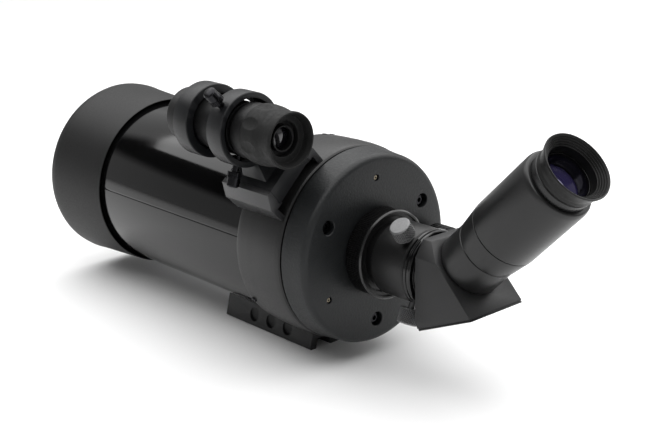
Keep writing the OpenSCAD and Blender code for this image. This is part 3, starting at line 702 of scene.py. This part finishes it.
def finder():
    turn("finder_tube", ON_FINDER, MOULDED, "finder", 0, 0.2, 160)
    turn("finder_objective_cell", ON_FINDER, HOOD, "finder", 0, 0.25, 160)
    turn("finder_objective_lens", ON_FINDER, SMOKE, "finder", 0, 0.0, 96, step=1.0)
    turn("finder_o_ring", ON_FINDER, RUBBER, "finder", 0, 0.0, 96)
    turn("finder_neck", ON_FINDER, MOULDED, "finder_focus", 0, 0.2, 160)
    turn("finder_eye_lens", ON_FINDER, SMOKE, "finder_focus", 0, 0.0, 96, step=0.8)
    low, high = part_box("finder_grip")
    rear = (low.y - REAR_Y) / MM
    middle_y = rear + 16.9

    def dimples(r, y, a):
        if r < 14.7 or not rear + 9 < y < rear + 23.2:
            return r
        t = (a / TAU * 8 + 0.22) % 1.0 - 0.5
        d = ((y - middle_y) / 5.6) ** 2 + (t * TAU / 8 * 16 / 3.4) ** 2
        return r - 0.9 * max(0.0, 1 - d) ** 0.9

    turn("finder_grip", ON_FINDER, RUBBER, "finder_focus", 12.5, 0.35, 360, dimples, step=0.3, sharp=42)
    refine("finder_bracket", 0.22, BRACKET, "finder", segments=2, angle=25)
    refine("finder_shoe", 0.28, SHOE, "tube", segments=2, angle=25)
    refine("finder_plunger", 0.1, STEEL, "finder", segments=1)
    for node, body in (("finder_screw_upper", "align_upper"), ("finder_screw_lower", "align_lower")):
        refine(node, 0.1, BLACK_STEEL, body, segments=1, angle=40)


def foot():
    refine("foot", 0.4, FOOT, "tube", segments=3, angle=25)
    refine("tripod_insert", 0.2, BRASS, "tube", segments=2)


optical_tube()
small_screws()
visual_back()
diagonal()
eyepiece()
finder()
foot()


# ---------------------------------------------------------------- camera, light, floor

VIEW_DISTANCE = 0.700
SENSOR_MM = 36
FOCAL_WIDTHS = 2.048554


def make_camera():
    """Camera behind, left of and above the object, with a slight roll."""
    azimuth, elevation, roll = math.radians(-42.02), math.radians(17.6), math.radians(-0.815)
    back = Vector((math.sin(azimuth) * math.cos(elevation), -math.cos(azimuth) * math.cos(elevation),
                   math.sin(elevation)))
    right = Vector((math.cos(azimuth), math.sin(azimuth), 0))
    up = back.cross(right)
    right, up = (right * math.cos(roll) + up * math.sin(roll), up * math.cos(roll) - right * math.sin(roll))
    target = Vector((TUBE.x - 38.04 * MM, REAR_Y, TUBE.z + 27.55 * MM))
    data = bpy.data.cameras.new("camera")
    data.sensor_width = SENSOR_MM
    data.lens = SENSOR_MM * FOCAL_WIDTHS
    data.clip_start, data.clip_end = 0.01, 30
    camera = bpy.data.objects.new("camera", data)
    bpy.context.scene.collection.objects.link(camera)
    m = Matrix((right, up, back)).transposed().to_4x4()
    m.translation = target + back * VIEW_DISTANCE
    camera.matrix_world = m
    bpy.context.scene.camera = camera


def area(name, place, aim, size, power, colour=(1, 1, 1)):
    data = bpy.data.lights.new(name, "AREA")
    data.shape = "RECTANGLE"
    data.size, data.size_y = size
    data.energy = power
    data.color = colour
    light = bpy.data.objects.new(name, data)
    light.location = place
    light.rotation_euler = (Vector(aim) - Vector(place)).to_track_quat("-Z", "Y").to_euler()
    bpy.context.scene.collection.objects.link(light)
    return light


def make_floor():
    size = 2.6
    mesh = bpy.data.meshes.new("floor")
    mesh.from_pydata([(-size, -size, 0), (size, -size, 0), (size, size, 0), (-size, size, 0)], [],
                     [(0, 1, 2, 3)])
    p = Paint("white_table")
    p.colour((0.86, 0.86, 0.86), (0.89, 0.89, 0.89), p.noise(3, 2))
    p.rough(p.noise(40, 2), 0.5, 0.6)
    sock(p.bsdf, "Specular IOR Level", 0.1)
    mesh.materials.append(p.mat)
    floor = bpy.data.objects.new("floor", mesh)
    bpy.context.scene.collection.objects.link(floor)


def make_world():
    """Studio surround, brightest overhead and to the right, that the gloss enamel reflects."""
    world = bpy.data.worlds.new("studio")
    world.use_nodes = True
    bpy.context.scene.world = world
    tree = world.node_tree
    coords = tree.nodes.new("ShaderNodeTexCoord")
    split = tree.nodes.new("ShaderNodeSeparateXYZ")
    bearing = tree.nodes.new("ShaderNodeMath")
    bearing.operation = "ARCTAN2"
    around = tree.nodes.new("ShaderNodeMapRange")
    for key, value in (("From Min", -math.pi), ("From Max", math.pi)):
        around.inputs[key].default_value = value
    tree.links.new(coords.outputs["Generated"], split.inputs["Vector"])
    tree.links.new(split.outputs["X"], bearing.inputs[0])
    tree.links.new(split.outputs["Y"], bearing.inputs[1])
    tree.links.new(bearing.outputs[0], around.inputs["Value"])

    def levels(fac, stops):
        ramp = tree.nodes.new("ShaderNodeValToRGB")
        while len(ramp.color_ramp.elements) < len(stops):
            ramp.color_ramp.elements.new(0.5)
        for element, (place, value) in zip(ramp.color_ramp.elements, stops):
            element.position = place
            element.color = (value, value, value, 1)
        tree.links.new(fac, ramp.inputs["Fac"])
        return ramp.outputs["Color"]

    def turns(degrees):
        return degrees / 360 + 0.5

    # the wall and ceiling by height, and a band at mid height that has a dark gap and a softbox
    wall = levels(split.outputs["Z"], [(0.28, 0.40), (0.62, 0.34), (0.80, 0.30)])
    band = levels(around.outputs["Result"], [
        (turns(-150), 0.25), (turns(-66), 0.16), (turns(-56), 0.01), (turns(-11), 0.01), (turns(-4), 0.62),
        (turns(55), 0.70), (turns(85), 0.30), (turns(150), 0.25)])
    in_band = levels(split.outputs["Z"], [(0.27, 0.0), (0.36, 1.0), (0.66, 1.0), (0.80, 0.0)])
    mix = tree.nodes.new("ShaderNodeMix")
    mix.data_type = "RGBA"
    tree.links.new(in_band, mix.inputs["Factor"])
    tree.links.new(wall, mix.inputs["A"])
    tree.links.new(band, mix.inputs["B"])
    tree.links.new(mix.outputs["Result"], tree.nodes["Background"].inputs["Color"])


make_camera()
make_floor()
make_world()
area("overhead", (0.05, 0.15, 1.3), (0, 0.05, 0.05), (2.6, 2.6), 52)
area("right_fill", (1.1, -0.3, 0.7), (0, 0.05, 0.05), (0.9, 0.9), 5)
bpy.context.scene.view_settings.view_transform = "Standard"
